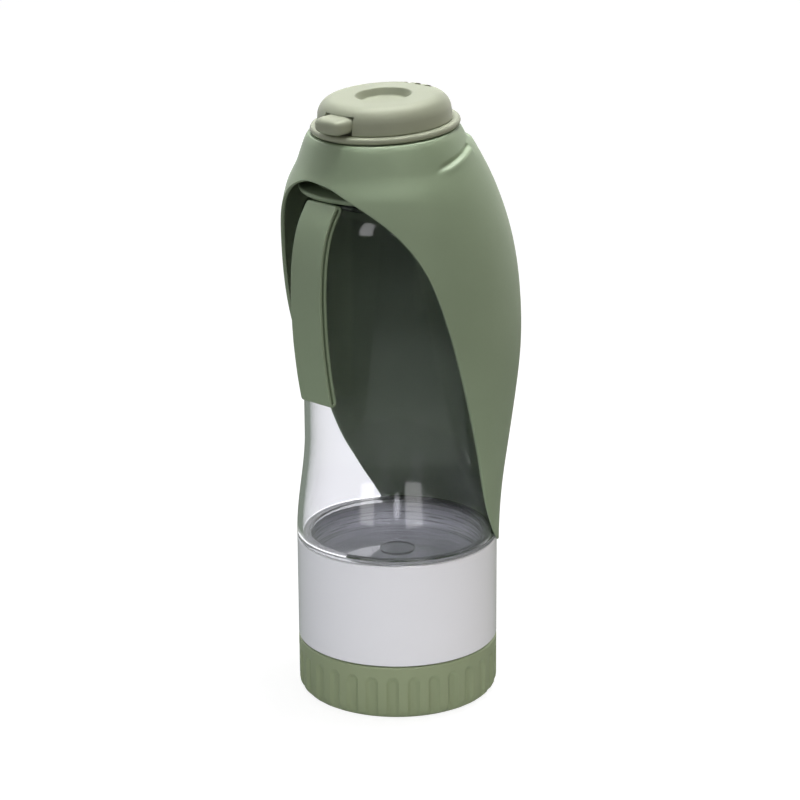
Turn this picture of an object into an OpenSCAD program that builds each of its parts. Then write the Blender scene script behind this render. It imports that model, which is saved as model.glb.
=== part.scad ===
// Travel water bottle for a dog: clear bottle, leaf-shaped fold-up bowl,
// flip lid on a screw cap, and a food cup with a ribbed screw base below.
// Millimetres. The base stands on z = 0, the front (latch and strap) is -Y.

/* [Base cap] */
// Outer diameter of the base cap, the cup and the bottle's foot
body_d = 75; // [72:0.5:80]
// Height of the ribbed base cap
base_h = 21; // [19:0.5:24]
// Thickness of the base cap's floor
base_floor = 2.8; // [2.4:0.1:3.2]
// Radius of the rounded lower edge of the base cap
base_round = 4.4; // [3:0.1:5]
// Number of grip flutes round the base cap
flute_count = 30; // [20:1:36]
// Width of one flute
flute_w = 4; // [3:0.1:4.4]
// Depth of one flute
flute_depth = 0.8; // [0.4:0.05:1]
// Plain band left above the flutes
flute_margin = 3.6; // [3:0.1:6]

/* [Food cup] */
// Height of the cup's white wall that shows
cup_h = 40; // [34:0.5:48]
// Thickness of the cup's wall
cup_wall = 3; // [2.8:0.1:3.2]
// Thickness of the cup's floor
cup_floor = 2.4; // [2:0.1:3]
// Thickness of the seal between the cup's spigot and the base cap's floor
base_gasket_t = 2.6; // [2.2:0.1:3]
// Thickness of that spigot's wall
spigot_wall = 2.3; // [2:0.1:3]

/* [Bottle] */
// Outer diameter of the clear bottle above its flared foot
bottle_d = 68.2; // [66:0.2:70]
// Thickness of the clear wall
bottle_wall = 2; // [1.6:0.1:2.4]
// Height over which the foot flares out to the cup's diameter
flare_h = 38; // [32:1:44]
// Height of the wall from the flange up to the shoulder
wall_h = 120.4; // [119.4:0.1:121.4]
// Radius of the rounded shoulder
shoulder_round = 9; // [8:0.1:9.5]
// Height of the point about which the neck leans, above the flange
lean_h = 94.4; // [93.4:0.1:95.4]
// Lean of the neck, cap and collar towards the front, in degrees
lean = 4.4; // [0:0.1:6]
// Thickness of the flange that closes the bottle's foot
flange_t = 1.6; // [1.4:0.1:2]
// Depth of the threaded well below that flange
well_h = 11; // [9:0.5:12]
// Rise of the middle of the well's floor
well_rise = 2.6; // [1:0.1:4]

/* [Neck and cap] */
// Outer diameter of the bottle's neck
neck_d = 42; // [40:0.5:42.4]
// Thickness of the neck's wall
neck_wall = 2.2; // [1.8:0.1:2.6]
// Height of the neck's mouth above that point
neck_top = 55.9; // [55:0.1:56.5]
// Outer diameter of the cap's skirt
skirt_d = 49.6; // [49:0.1:50]
// Thickness of the skirt's wall
skirt_wall = 2.4; // [2.2:0.1:2.6]
// Thickness of the cap's deck
deck_t = 1.8; // [1.5:0.1:2]
// Outer diameter of the bead round the cap
bead_d = 54.2; // [53.6:0.1:55]
// Height of the bead
bead_h = 2.3; // [2:0.1:2.6]
// Bore of the pouring spout
spout_bore = 12; // [10:0.5:13]
// Height of the spout above the deck
spout_h = 6; // [5:0.1:6.2]

/* [Lid and latch] */
// Diameter of the lid at its lower edge
lid_d = 49.2; // [48.6:0.1:50]
// Height of the lid's edge up to its crowned top
lid_h = 9.2; // [8.8:0.1:9.6]
// Crown of the lid's top
lid_crown = 1.2; // [0.8:0.1:1.6]
// Diameter of the round recess in the lid's top
recess_d = 20.4; // [18:0.2:22]
// Depth of that recess
recess_depth = 3.5; // [2.5:0.1:3.6]
// Width of the latch button
button_w = 13.8; // [12:0.2:15]
// Height of the latch button
button_h = 5.9; // [5.4:0.1:6]
// How far the latch button stands out from the lid's edge
button_out = 5.3; // [4.6:0.1:6]
// Travel of the latch button when pressed
press = 1.6; // [1:0.1:1.8]
// Width of each hinge ear on the cap
ear_w = 3.4; // [3:0.1:3.6]
// Diameter of the hinge pin
pin_d = 1.8; // [1.5:0.1:2]

/* [Leaf bowl] */
// Thickness of the silicone leaf
leaf_wall = 1.5; // [1.2:0.1:1.8]
// Thickness of the leaf where it hugs the cup
leaf_edge = 0.6; // [0.5:0.05:0.8]
// Depth of the step where the leaf's back turns over its collar
leaf_step = 1.6; // [0.5:0.1:2]
// How much higher the left lower edge hangs than the right one
leaf_skew = 8; // [0:0.5:10]
// Thickness of the sleeve that holds the leaf on the neck
sleeve_wall = 1.5; // [1.3:0.1:1.8]

/* [Strap] */
// Outer diameter of the strap's ring round the neck
ring_d = 65.4; // [60:0.2:66]
// Thickness of the strap's ring
ring_t = 1.8; // [1.5:0.1:2]
// Width of the hand strap
strap_w = 15.3; // [13:0.1:18]
// Thickness of each layer of the hand strap
strap_t = 1.25; // [1.1:0.05:1.5]
// Gap between the two layers
strap_gap = 0.9; // [0.7:0.1:1.4]
// Height of the strap's lower end above the flange
strap_low = 57; // [52:1:62]

/* [Hidden] */
$fa = 5;
$fs = 0.4;
eps = 0.01;

// Colours
leaf_green = "#8C9B7E";
base_green = "#85906D";
lid_khaki = "#A3A48C";
silicone_white = "#E4E4E0";
clear_plastic = "#D6DDE2";
cup_white = "#EDEDF0";
steel = "#B9BCC0";

// Clearances
seat = 0.05;        // flat seats that press on each other
seam = 0.2;         // visible seam between turning parts
run = 0.3;          // curved faces that pass each other
thread_gap = 0.4;   // between the plain threaded walls
pin_gap = 0.05;     // radial play of the hinge pin in its ears

// Base cap and food cup
body_r = body_d / 2;
base_gap = 0.4;
cup_z = base_h + base_gap;
cup_top = base_h + cup_h - seam;
cup_in_r = body_r - cup_wall;
cup_floor_z = cup_z + 0.4;
spigot_r = body_r - 4;
spigot_z = base_floor + base_gasket_t;
base_in_r = spigot_r + thread_gap;
gasket_w = 1.4;
rebate_h = 1.5;
rebate_r = body_r - gasket_w;

// Bottle
flange_z = base_h + cup_h;
shell_z = flange_z + flange_t;
shoulder_z = shell_z + wall_h;
lean_z = shell_z + lean_h;
bottle_r = bottle_d / 2;
well_out_r = cup_in_r - run;
well_wall = 1.8;
well_r = well_out_r - well_wall;
well_floor_t = 2;
well_z = flange_z - well_h;
flare_steps = 14;
neck_r = neck_d / 2;
neck_in_r = neck_r - neck_wall;
ledge_w = 6;
ledge_t = 2;
ledge_h = 37;
neck_root = 30;

// Cap, heights above the lean's centre along the neck
neck_gasket_t = 1.1;
deck_h = neck_top + neck_gasket_t + 2 * seat;
deck_top = deck_h + deck_t;
skirt_r = skirt_d / 2;
skirt_in_r = skirt_r - skirt_wall;
skirt_z = 42;
bead_r = bead_h / 2;
bead_ring_r = bead_d / 2 - bead_r;
rim_top = deck_top + 2.9;
rim_in_r = bead_ring_r - 3;
spout_r = spout_bore / 2;
spout_out_r = spout_r + 2.4;
spout_top = deck_top + spout_h;

// Lid
lid_z = rim_top + seam;
lid_r = lid_d / 2;
lid_edge_r = 6.2;
lid_draft = 0.5;
lid_top = lid_z + lid_h;
lid_flat_r = lid_r - lid_draft - lid_edge_r;
crown_r = (pow(lid_flat_r, 2) + pow(lid_crown, 2)) / (2 * lid_crown);
recess_r = recess_d / 2;
recess_slope = 1.6;
recess_rim_h = lid_top + lid_crown - pow(recess_r, 2) / (2 * crown_r);
recess_floor_h = recess_rim_h - recess_depth;
lid_wall = 1.7;
lid_ceiling = recess_floor_h - lid_wall;
lid_open = 130;

// Hinge of the lid
hinge_y = 21.6;
hinge_h = lid_z + 3.2;
barrel_r = 2.4;
tail_r = 3.1;
ear_pitch = ear_w + 1.8;
slot_w = ear_w + 2 * seam;
slot_front = hinge_y - barrel_r - run;
pin_r = pin_d / 2;
pin_l = 2 * ear_pitch + slot_w + 2 * 1.2;

// Latch
button_z = lid_z + 0.5;
button_front = -(lid_r + button_out);
button_back = -19.9;
button_round = 1.3;
pocket_back = button_back + press + 2 * seam;
pocket_h = button_z + button_h + run - lid_z + 1;
pocket_wall = 1.2;
tongue_w = 8;
tongue_t = 1;
tongue_z = deck_top + 0.5;
barb_out = 0.4;
barb_h = 1.2;
catch_y = button_back - tongue_t - barb_out - 0.4;
catch_z = tongue_z + barb_h + 0.3;
catch_t = 0.8;
spring_bore_r = 2;
spring_bore_l = 4.5;
spring_r = 1.45;
wire_r = 0.25;
spring_turns = 5;
spring_l = spring_bore_l + 2 * seam - 0.2;
spring_h = button_z + button_h / 2;

// Leaf: height above the flange, radius and shift of the section to the back
leaf_top = lean_z + deck_top + 0.3;
function leaf_sections() = [
    [-22.6, body_r + run + leaf_edge, 0], [-0.6, body_r + run + leaf_edge, 0],
    [17.4, bottle_r + 4.4, 1.4], [42.4, bottle_r + 7.2, 2.4], [72.4, bottle_r + 11.6, 0.8],
    [97.4, bottle_r + 11, 0.4], [117.4, bottle_r + 7.9, 0.5], [135.4, bottle_r + 2.8, 0],
    [142.4, bead_d / 2 + 6, 0], [147.4, bead_d / 2 + 3.9, 0], [151, bead_d / 2 + 2.5, 0],
    [152.8, bead_d / 2 + 1.4, 0], [154.4, bead_d / 2 - 0.1, 0]];
// Lower edge of the leaf: angle from the back and height above the flange
leaf_rim = [
    [-15, -11.6], [0, -12.2], [15, -11.6], [30, -8.6], [42, -5.6], [52, -3], [60, -0.4],
    [66, 2.9], [73, 9.4], [80, 17.6], [90, 36], [100, 57.4], [108, 80.4], [115, 99.4],
    [123, 114.4], [137, 127.4], [160, 136.9], [180, 140.4], [200, 136.9]];
// Share of the left edge's extra height, by the angle from the back
leaf_uneven = [
    [-15, 0], [50, 0], [62, 0.88], [76, 1], [92, 0.06], [110, 0], [128, 0.06], [150, 0.38],
    [162, 0.32], [180, 0], [200, 0]];
// Line of the step at the back of the collar: angle from the back, height above the flange
leaf_crease = [
    [-55, 147.2], [0, 147], [55, 147.6], [66, 147.6], [79, 146.6], [93, 144.4],
    [104, 142.7], [122, 143.4], [150, 145.4], [180, 145.9], [210, 145.4]];
step_start = 60;
step_end = 104;
leaf_columns = 60;
leaf_rows = 13;
sleeve_r = skirt_r + run;
sleeve_z = ledge_h + ledge_t + ring_t + 3 * seat + 0.3;
lean_from = shell_z + 87.4;
lean_over = 45;
crease_w = 0.7;
thick_from = shell_z + 1.4;
thick_over = 40;
collar_h = 6;
collar_taper = 1.4;

// Strap
ring_z = ledge_h + ledge_t + seat;
ring_r = ring_d / 2;
strap_full_t = 2 * strap_t + strap_gap;
strap_steps = 14;
strap_drop = 0.9;
strap_bottom = shell_z + strap_low;
// Side view of the strap's outer face: height above the flange, distance off the bottle
strap_shape = [
    [55.4, 6.25], [61.4, 7.56], [68.9, 8.92], [80.9, 10.44], [93.4, 11.16], [101.4, 11.14],
    [110.4, 10.47], [118.9, 8.69], [124.9, 6.26], [130.4, 2.72]];

// Moves what is drawn along the z axis to the leaning neck.
module on_neck() {
    translate([0, 0, lean_z])
        rotate([lean, 0, 0])
            children();
}

// A ring from a bore radius to an outer radius between two heights.
module ring(r_in, r_out, z0, z1) {
    rotate_extrude()
        translate([r_in, z0])
            square([r_out - r_in, z1 - z0]);
}

// A rectangle with rounded corners, centred.
module rounded_rect(w, h, r) {
    square([w - 2 * r, h], center = true);
    square([w, h - 2 * r], center = true);
    for (sx = [-1, 1], sy = [-1, 1])
        translate([sx * (w / 2 - r), sy * (h / 2 - r)])
            circle(r);
}

// Smooth step from 0 to 1.
function smooth(t) = let (u = min(max(t, 0), 1)) u * u * (3 - 2 * u);

// Height of a row in a table at which x lies, and a smooth curve through a column.
function segment(table, x, i = 0) =
    i >= len(table) - 2 || x < table[i + 1][0] ? i : segment(table, x, i + 1);
function slope(table, i, column) =
    let (a = max(i - 1, 0), b = min(i + 1, len(table) - 1))
    (table[b][column] - table[a][column]) / (table[b][0] - table[a][0]);
function curve(table, x, column = 1) =
    let (
        i = segment(table, x),
        h = table[i + 1][0] - table[i][0],
        t = (x - table[i][0]) / h)
    (2 * t * t * t - 3 * t * t + 1) * table[i][column]
    + (t * t * t - 2 * t * t + t) * h * slope(table, i, column)
    + (3 * t * t - 2 * t * t * t) * table[i + 1][column]
    + (t * t * t - t * t) * h * slope(table, i + 1, column);

// Closed skin over a grid of points: columns round the part, points round each column.
function grid_faces(columns, points) = [
    for (i = [0 : columns - 1], j = [0 : points - 1])
        let (
            a = i * points + j,
            b = i * points + (j + 1) % points,
            c = ((i + 1) % columns) * points + (j + 1) % points,
            d = ((i + 1) % columns) * points + j)
        each [[a, c, b], [a, d, c]]];

// Ribbed base cap that screws on the cup's lower spigot.
module base_cap() {
    color(base_green)
    difference() {
        rotate_extrude()
            difference() {
                union() {
                    square([body_r - base_round, base_h]);
                    translate([0, base_round])
                        square([body_r, base_h - base_round]);
                    intersection() {
                        translate([body_r - base_round, base_round])
                            circle(base_round);
                        square([body_r, base_h]);
                    }
                }
                translate([-eps, base_floor])
                    square([base_in_r, base_h]);
            }
        flutes();
    }
}

// Round-topped grip flutes, cut from the base cap's wall.
module flutes() {
    cutter_r = (pow(flute_w / 2, 2) + pow(flute_depth, 2)) / (2 * flute_depth);
    for (i = [0 : flute_count - 1])
        rotate(i * 360 / flute_count)
            translate([body_r + cutter_r - flute_depth, 0, 0]) {
                translate([0, 0, -1])
                    cylinder(r = cutter_r, h = base_h - flute_margin - cutter_r + 1);
                translate([0, 0, base_h - flute_margin - cutter_r])
                    sphere(cutter_r);
            }
}

// Seal between the cup's spigot and the base cap's floor.
module base_gasket() {
    color(silicone_white)
        ring(spigot_r - spigot_wall + 0.1, spigot_r - 0.1, base_floor + seat, spigot_z - seat);
}

// White food cup with a threaded mouth and a threaded spigot below its floor.
module food_cup() {
    color(cup_white)
    rotate_extrude()
        difference() {
            union() {
                translate([0, cup_z])
                    square([body_r, cup_top - cup_z]);
                translate([0, spigot_z])
                    square([spigot_r, cup_z - spigot_z + eps]);
            }
            translate([-eps, cup_floor_z + cup_floor])
                square([cup_in_r, cup_h]);
            translate([-eps, cup_top - rebate_h])
                square([rebate_r, cup_h]);
            translate([-eps, spigot_z - eps])
                square([spigot_r - spigot_wall, cup_floor_z - spigot_z]);
        }
}

// Seal in the rebate of the cup's mouth, under the bottle's flange.
module cup_gasket() {
    color(silicone_white)
        ring(cup_in_r + seat, rebate_r - seat, cup_top - rebate_h + seat, flange_z - seat);
}

// Clear floor welded to the bottle's foot: flange, threaded well and raised middle.
module bottle_floor() {
    color(clear_plastic)
    rotate_extrude()
        polygon([
            [0, well_z + well_rise],
            [well_r * 0.2, well_z + well_rise],
            [well_r * 0.8, well_z],
            [well_out_r, well_z],
            [well_out_r, flange_z],
            [body_r, flange_z],
            [body_r, shell_z],
            [well_r, shell_z],
            [well_r, well_z + well_floor_t],
            [well_r * 0.8, well_z + well_floor_t],
            [well_r * 0.2, well_z + well_floor_t + well_rise],
            [0, well_z + well_floor_t + well_rise]]);
}

// Outer radius of the bottle at a height above its foot.
function bottle_radius(z) =
    body_r - (body_r - bottle_r) * smooth((z - shell_z) / flare_h);

// The bottle's body as a solid of revolution, drawn in by a wall's thickness.
module bottle_form(inset, foot_z) {
    flare = [for (i = [0 : flare_steps]) shell_z + flare_h * i / flare_steps];
    top_r = bottle_r - shoulder_round;
    round_r = shoulder_round - inset;
    rotate_extrude() {
        polygon(concat(
            [[0, foot_z], [bottle_radius(shell_z) - inset, foot_z]],
            [for (z = flare) [bottle_radius(z) - inset, z]],
            [[bottle_r - inset, shoulder_z], [0, shoulder_z]]));
        translate([0, shoulder_z - eps])
            square([top_r + eps, round_r + eps]);
        intersection() {
            translate([top_r, shoulder_z])
                circle(round_r);
            translate([top_r, shoulder_z - eps])
                square([round_r, round_r + eps]);
        }
    }
}

// Clear bottle: flared foot, straight body, rounded shoulder and leaning neck.
module bottle_shell() {
    color(clear_plastic)
    difference() {
        union() {
            bottle_form(0, shell_z);
            on_neck() {
                translate([0, 0, neck_root])
                    cylinder(r = neck_r, h = neck_top - neck_root);
                translate([0, 0, ledge_h])
                    cylinder(r = neck_r + ledge_w, h = ledge_t);
            }
        }
        bottle_form(bottle_wall, shell_z - 1);
        on_neck()
            translate([0, 0, neck_root])
                cylinder(r = neck_in_r, h = neck_top);
    }
}

// Ring of the strap, laid on the ledge of the neck.
module strap_ring() {
    color(leaf_green)
    on_neck()
        ring(neck_r + run, ring_r, ring_z, ring_z + ring_t);
}

// Turns a point of the neck's frame, given as y and height, to y and z of the part.
function neck_yz(y, h) = [y * cos(lean) - h * sin(lean), lean_z + y * sin(lean) + h * cos(lean)];

// Upper end of the strap, just below the ring's front edge.
strap_top = neck_yz(-ring_r, ring_z)[1] - strap_drop;

// Distance of the strap's outer face from the axis.
function strap_y(z) = bottle_r + curve(strap_shape, z - shell_z);

// Side view of one layer of the strap, by its distance inside the outer face.
function strap_line(inset) = [
    for (i = [0 : strap_steps])
        let (
            z0 = strap_bottom + strap_full_t / 2,
            z = z0 + (strap_top - z0) * i / strap_steps,
            s = (strap_y(z + 0.5) - strap_y(z - 0.5)),
            n = sqrt(1 + s * s))
        [-strap_y(z) + inset / n, z + inset * s / n]];

// Flattened loop of silicone that hangs from the ring, for the hand or a hook.
module hand_strap() {
    mid = strap_line(strap_full_t / 2);
    color(leaf_green)
    difference() {
        union() {
            strap_slab(strap_line(0), strap_line(strap_full_t), strap_w);
            for (end = [0, strap_steps])
                strap_fold(mid[end], strap_full_t / 2 - 2 * eps, strap_w);
        }
        strap_slab(strap_line(strap_t), strap_line(strap_t + strap_gap), strap_w + 2);
        for (end = [0, strap_steps])
            strap_fold(mid[end], strap_gap / 2 + eps, strap_w + 2);
    }
}

// A slab between two lines of the strap's side view.
module strap_slab(outer, inner, w) {
    translate([-w / 2, 0, 0])
        rotate([90, 0, 90])
            linear_extrude(w)
                polygon(concat(outer, [for (i = [strap_steps : -1 : 0]) inner[i]]));
}

// A round bar across the strap at a fold.
module strap_fold(place, r, w) {
    translate([-w / 2, place[0], place[1]])
        rotate([0, 90, 0])
            cylinder(r = r, h = w);
}

// Heights of the leaf's lower edge and of its crease.
function rim_z(angle, side) =
    shell_z + curve(leaf_rim, side) + (angle > 180 ? leaf_skew * curve(leaf_uneven, side) : 0);
function crease_z(side) = shell_z + curve(leaf_crease, side);

// Radius of the leaf's outer face: above the crease it steps in to the collar.
function step_share(side) = 1 - smooth((side - step_start) / (step_end - step_start));
function leaf_radius(z, side) =
    curve(leaf_sections(), z - shell_z)
    - leaf_step * step_share(side) * smooth((z - crease_z(side)) / crease_w + 0.5);
function leaf_thickness(z) =
    leaf_edge + (leaf_wall - leaf_edge) * smooth((z - thick_from) / thick_over);

// A point of the leaf: angle from the back, distance from the section's centre, height.
function leaf_point(angle, r, z) =
    let (
        y = curve(leaf_sections(), z - shell_z, 2) + r * cos(angle),
        h = z - lean_z,
        a = lean * smooth((z - lean_from) / lean_over))
    [r * sin(angle), y * cos(a) - h * sin(a), lean_z + y * sin(a) + h * cos(a)];

// One closed column of the leaf's wall, from the collar down, round the edge and up.
function leaf_column(angle) =
    let (
        side = abs(angle > 180 ? angle - 360 : angle),
        low = rim_z(angle, side),
        fold = crease_z(side),
        fold_low = fold - crease_w / 2,
        rows = concat(
            [leaf_top, leaf_top - 1.1, leaf_top - 2.6, fold + crease_w / 2, fold_low],
            [for (i = [1 : leaf_rows]) fold_low - (fold_low - low) * pow(i / leaf_rows, 1.05)]),
        inner = [for (i = [len(rows) - 1 : -1 : 4]) rows[i]],
        edge_t = leaf_thickness(low),
        sleeve_out = sleeve_r + sleeve_wall)
    concat(
        [for (z = rows) leaf_point(angle, leaf_radius(z, side), z)],
        [leaf_point(angle, leaf_radius(low, side) - edge_t / 2, low - edge_t / 3)],
        [for (z = inner) leaf_point(angle, leaf_radius(z, side) - leaf_thickness(z), z)],
        [leaf_point(angle, sleeve_out + 0.25, leaf_top - collar_h + collar_taper),
         leaf_point(angle, sleeve_out, leaf_top - collar_h),
         leaf_point(angle, sleeve_out, lean_z + sleeve_z),
         leaf_point(angle, sleeve_r, lean_z + sleeve_z),
         leaf_point(angle, sleeve_r, leaf_top)]);

// Silicone leaf: closed collar round the neck, wide back, open front, pointed foot.
module leaf_bowl() {
    columns = [for (i = [0 : leaf_columns - 1]) leaf_column(i * 360 / leaf_columns)];
    color(leaf_green)
        polyhedron(
            points = [for (column = columns) each column],
            faces = grid_faces(leaf_columns, len(columns[0])));
}

// Seal between the neck's mouth and the cap's deck.
module neck_gasket() {
    color(silicone_white)
    on_neck()
        ring(neck_in_r, skirt_in_r - run, neck_top + seat, deck_h - seat);
}

// Screw cap: threaded skirt, deck with the spout, bead and hinge ears.
module cap_base() {
    color(lid_khaki)
    on_neck()
    difference() {
        union() {
            rotate_extrude()
                difference() {
                    union() {
                        translate([0, skirt_z])
                            square([skirt_r, rim_top - skirt_z]);
                        translate([0, rim_top - bead_h - 0.1])
                            square([bead_ring_r, bead_h + 0.1]);
                        translate([bead_ring_r, rim_top - bead_r])
                            circle(bead_r);
                    }
                    translate([-eps, skirt_z - 1])
                        square([skirt_in_r, deck_h - skirt_z + 1]);
                    translate([spout_out_r, deck_top])
                        square([rim_in_r - spout_out_r, rim_top]);
                    translate([-eps, deck_top])
                        square([spout_out_r + 2 * eps, rim_top]);
                }
            ring(spout_r, spout_out_r, deck_top - eps, spout_top);
            for (x = [-ear_pitch, 0, ear_pitch])
                hinge_ear(x);
            catch_lip();
        }
        translate([0, 0, deck_h - 1])
            cylinder(r = spout_r, h = spout_h + deck_t + 2);
        hinge_line(pin_r + pin_gap, 2 * pin_l);
    }
}

// A bar along the lid's hinge axis.
module hinge_line(r, length) {
    translate([-length / 2, hinge_y, hinge_h])
        rotate([0, 90, 0])
            cylinder(r = r, h = length);
}

// One ear of the lid's hinge, standing on the cap's rim.
module hinge_ear(x) {
    translate([x - ear_w / 2, 0, 0]) {
        translate([0, hinge_y, hinge_h])
            rotate([0, 90, 0])
                cylinder(r = barrel_r, h = ear_w);
        translate([0, hinge_y - barrel_r, rim_top - 1])
            cube([ear_w, 2 * barrel_r, hinge_h - rim_top + 1]);
    }
}

// Lip inside the cap's rim that the latch's nose snaps under.
module catch_lip() {
    intersection() {
        translate([-tongue_w / 2, -rim_in_r - 1, catch_z])
            cube([tongue_w, catch_y + rim_in_r + 1, catch_t]);
        cylinder(r = rim_in_r + 0.5, h = rim_top);
    }
}

// Quarter round of the lid's edge, at a radius about its centre, from below to the top.
function lid_edge(r) = [
    for (a = [0 : 11.25 : 90])
        [lid_flat_r + r * cos(a), lid_top - lid_edge_r + r * sin(a)]];

// Half of the lid's outline, from the axis to its edge.
function lid_outline() = concat(
    [for (r = [recess_r : (lid_flat_r - recess_r) / 4 : lid_flat_r + eps])
        [r, lid_top + lid_crown - r * r / (2 * crown_r)]],
    [for (a = [80 : -10 : 0])
        [lid_flat_r + lid_edge_r * cos(a), lid_top - lid_edge_r + lid_edge_r * sin(a)]],
    [[lid_r, lid_z]]);

// Flip lid: crowned shell with a round recess, hinge slots and the latch's pocket.
module flip_lid() {
    color(lid_khaki)
    on_neck()
    difference() {
        union() {
            difference() {
                rotate_extrude()
                    polygon(concat(
                        [[0, lid_z], [0, recess_floor_h],
                         [recess_r - recess_slope, recess_floor_h]],
                        lid_outline()));
                lid_cavity();
            }
            lid_inside();
        }
        lid_tail_cut();
        for (x = [-ear_pitch, 0, ear_pitch])
            translate([x - slot_w / 2, slot_front, lid_z - 1])
                cube([slot_w, lid_r, lid_h + lid_crown + 2]);
        hinge_line(pin_r, pin_l);
        button_pocket();
    }
}

// Hollow under the lid's top.
module lid_cavity() {
    rotate_extrude()
        polygon(concat(
            [[0, lid_z - 1], [lid_flat_r + lid_edge_r - lid_wall, lid_z - 1]],
            lid_edge(lid_edge_r - lid_wall),
            [[recess_r + lid_wall + 0.4, lid_top + lid_crown - 0.4 - lid_wall],
             [recess_r, lid_ceiling], [0, lid_ceiling]]));
}

// Ribs under the lid's top: plug collar, hinge block and the walls of the latch's pocket.
module lid_inside() {
    plug_ring_r = spout_out_r + run;
    ring(plug_ring_r, plug_ring_r + 1.4, lid_z + 1, lid_ceiling + eps);
    intersection() {
        union() {
            translate([-pin_l / 2 - 0.8, hinge_y - barrel_r - run - 1.5, hinge_h - tail_r])
                cube([pin_l + 1.6, lid_r, lid_h]);
            translate([-button_w / 2 - 1.5, -lid_r, lid_z + 0.4])
                cube([button_w + 3, pocket_back + pocket_wall + lid_r, lid_h]);
        }
        rotate_extrude()
            polygon(concat(
                [[0, lid_z], [lid_flat_r + lid_edge_r - 0.8, lid_z]],
                lid_edge(lid_edge_r - 0.8),
                [[recess_r + 1, lid_top - 0.6],
                 [recess_r - recess_slope, lid_ceiling + 0.5], [0, lid_ceiling + 0.5]]));
    }
    translate([0, pocket_back + eps, spring_h])
        rotate([90, 0, 0])
            cylinder(r = spring_r - wire_r - 0.15, h = 1.4);
}

// Cuts what would strike the cap's rim from the lid behind its hinge, up to full opening.
module lid_tail_cut() {
    difference() {
        translate([-lid_r, hinge_y, lid_z - 1])
            cube([2 * lid_r, lid_r, lid_h + lid_crown + 2]);
        translate([-lid_r - 1, hinge_y, hinge_h]) {
            rotate([0, 90, 0])
                cylinder(r = tail_r, h = 2 * lid_r + 2);
            rotate([lid_open - 90, 0, 0])
                translate([0, -lid_r, 0])
                    cube([2 * lid_r + 2, lid_r + tail_r, 2 * lid_h]);
        }
    }
}

// Room for the latch button and its travel.
module button_pocket() {
    translate([-button_w / 2 - seam, -lid_r - 2, lid_z - 1])
        cube([button_w + 2 * seam, pocket_back + lid_r + 2 - 1.4, pocket_h]);
    difference() {
        translate([-button_w / 2 - seam, pocket_back - 1.5, lid_z - 1])
            cube([button_w + 2 * seam, 1.5, pocket_h]);
        translate([0, pocket_back + eps, spring_h])
            rotate([90, 0, 0])
                cylinder(r = spring_r - wire_r - 0.15, h = 2);
    }
}

// Steel pin pressed in the lid, on which the cap's ears turn.
module lid_hinge_pin() {
    color(steel)
    on_neck()
        hinge_line(pin_r, pin_l);
}

// Silicone plug under the lid that closes the spout.
module spout_plug() {
    color(silicone_white)
    on_neck()
        rotate_extrude()
            polygon([
                [0, deck_top + 2.4], [spout_r - 1.1, deck_top + 2.4],
                [spout_r - 0.5, spout_top - 1], [spout_r - 0.5, spout_top + seat],
                [spout_out_r, spout_top + seat], [spout_out_r, lid_ceiling - seat],
                [0, lid_ceiling - seat]]);
}

// Press button of the latch, with the tongue and nose that hold the lid shut.
module latch_button() {
    length = button_back - button_front;
    color(lid_khaki)
    on_neck() {
        difference() {
            translate([0, 0, button_z + button_h / 2])
                intersection() {
                    translate([0, button_back, 0])
                        rotate([90, 0, 0])
                            linear_extrude(length)
                                rounded_rect(button_w, button_h, button_round);
                    translate([-button_w / 2, (button_front + button_back) / 2 + 1, 0])
                        rotate([90, 0, 90])
                            linear_extrude(button_w)
                                rounded_rect(length + 2, button_h, button_round);
                    translate([0, (button_front + button_back) / 2 + 1, -button_h / 2])
                        linear_extrude(button_h)
                            rounded_rect(button_w, length + 2, button_round);
                }
            translate([0, button_back + 1, spring_h])
                rotate([90, 0, 0])
                    cylinder(r = spring_bore_r, h = spring_bore_l + 1);
        }
        translate([-tongue_w / 2 + 0.5, button_back - tongue_t, tongue_z])
            cube([tongue_w - 1, tongue_t, button_z + 1 - tongue_z]);
        translate([-tongue_w / 2 + 0.5, button_back - tongue_t - barb_out, tongue_z])
            cube([tongue_w - 1, barb_out + eps, barb_h]);
    }
}

// Return spring of the latch, drawn at its pressed length.
module latch_spring() {
    sides = 6;
    per_turn = 10;
    steps = spring_turns * per_turn;
    rise = spring_l - 2 * wire_r - 2 * seat;
    function at(i) =
        let (a = 360 * i / per_turn)
        [spring_r * cos(a), spring_r * sin(a), wire_r + seat + rise * i / steps];
    points = [for (i = [0 : steps], k = [0 : sides - 1])
        let (a = 360 * i / per_turn, b = 360 * k / sides, p = at(i))
        [p[0] + wire_r * cos(b) * cos(a), p[1] + wire_r * cos(b) * sin(a), p[2] + wire_r * sin(b)]];
    walls = [for (i = [0 : steps - 1], k = [0 : sides - 1])
        let (
            a = i * sides + k,
            b = i * sides + (k + 1) % sides,
            c = a + sides,
            d = b + sides)
        each [[a, d, b], [a, c, d]]];
    ends = [
        for (k = [1 : sides - 2]) [0, k, k + 1],
        for (k = [1 : sides - 2]) [steps * sides, steps * sides + k + 1, steps * sides + k]];
    color(steel)
    on_neck()
        translate([0, pocket_back, spring_h])
            rotate([90, 0, 0])
                polyhedron(points = points, faces = concat(walls, ends));
}

base_cap();
base_gasket();
food_cup();
cup_gasket();
bottle_floor();
bottle_shell();
strap_ring();
hand_strap();
leaf_bowl();
neck_gasket();
cap_base();
flip_lid();
lid_hinge_pin();
spout_plug();
latch_button();
latch_spring();
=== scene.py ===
import math

import bmesh
import bpy
from mathutils import Matrix, Vector


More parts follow.
